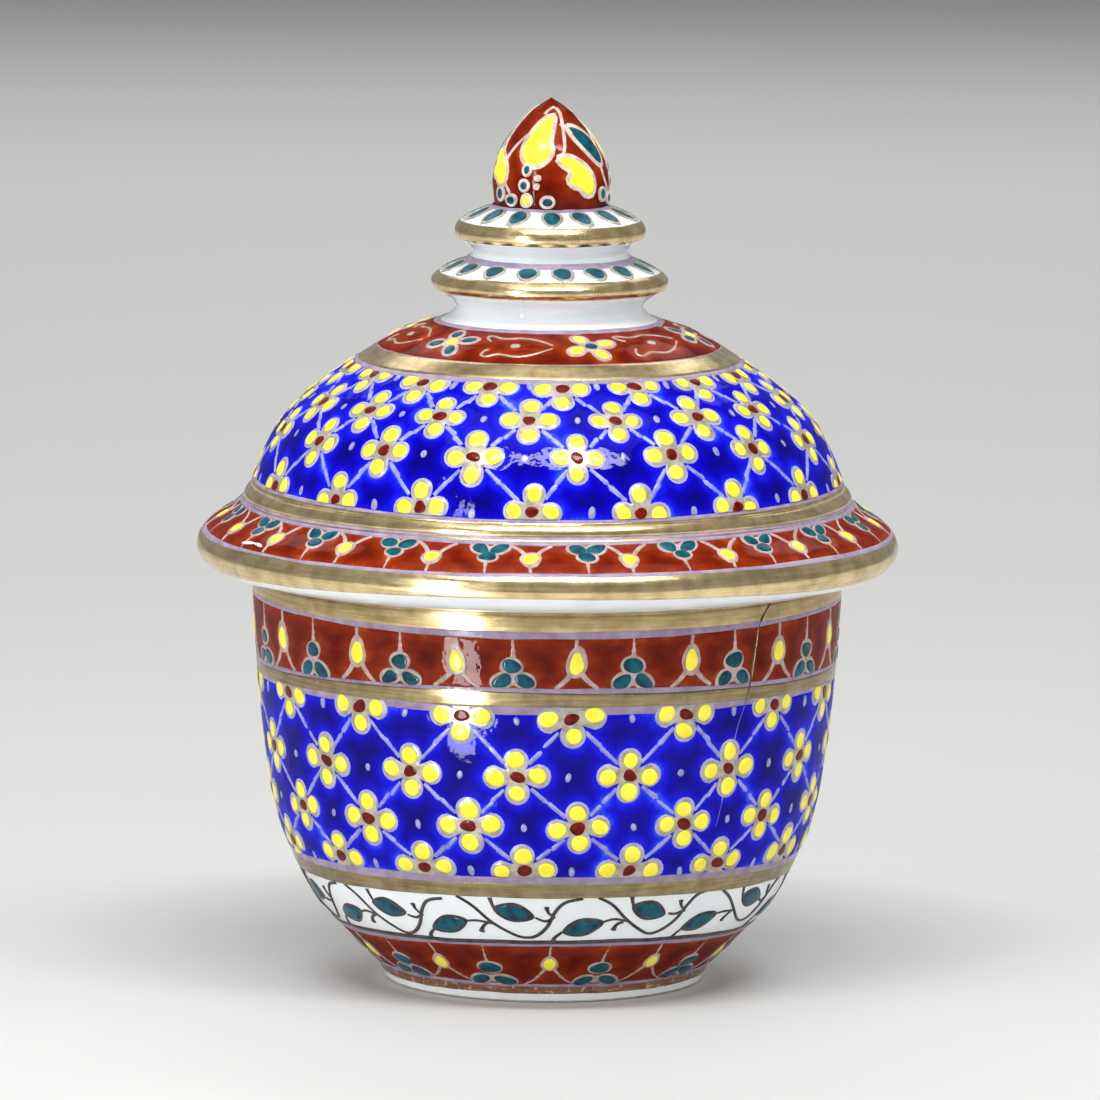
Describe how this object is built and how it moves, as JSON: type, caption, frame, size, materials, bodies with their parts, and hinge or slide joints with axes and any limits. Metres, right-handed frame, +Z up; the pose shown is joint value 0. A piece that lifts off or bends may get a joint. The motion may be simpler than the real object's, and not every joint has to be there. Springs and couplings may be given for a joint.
{
  "type": "sugar bowl with lid",
  "caption": "Footed round porcelain bowl with a domed lid, rolled brim, locating ring and stepped bud finial, covered in raised enamel diaper pattern and gilt bands.",
  "frame": {"origin": "on the table under the middle of the foot ring", "axes": "+Z up along the pot's axis, the front of the picture faces -Y"},
  "size_m": [0.1188, 0.1188, 0.15],
  "materials": {
    "white_glaze": "glossy white porcelain glaze",
    "cobalt_enamel": "glossy cobalt blue enamel, pooled darker between the lines",
    "iron_red_enamel": "glossy iron red enamel, brushed",
    "yellow_enamel": "thick glossy yellow enamel, domed",
    "teal_enamel": "thick glossy teal enamel, domed",
    "outline_enamel": "raised taupe outline with a pale halo",
    "vine_ink": "dark brown-black drawn line",
    "gilding": "brushed-on fired gold, slightly worn",
    "bare_porcelain": "unglazed fired biscuit on the foot's land"
  },
  "bodies": {
    "bowl": {"bowl_body": "cobalt_enamel", "foot_ring": "white_glaze"},
    "lid": {"lid_dome": "cobalt_enamel", "lid_collar": "white_glaze", "finial_lower_tier": "white_glaze", "finial_upper_tier": "white_glaze", "finial_bud": "iron_red_enamel"}
  },
  "joints": [
    {"name": "lid_lift", "type": "slide", "parent": "bowl", "child": "lid", "axis": [0, 0, 1], "range_m": [0, 0.08]}
  ]
}
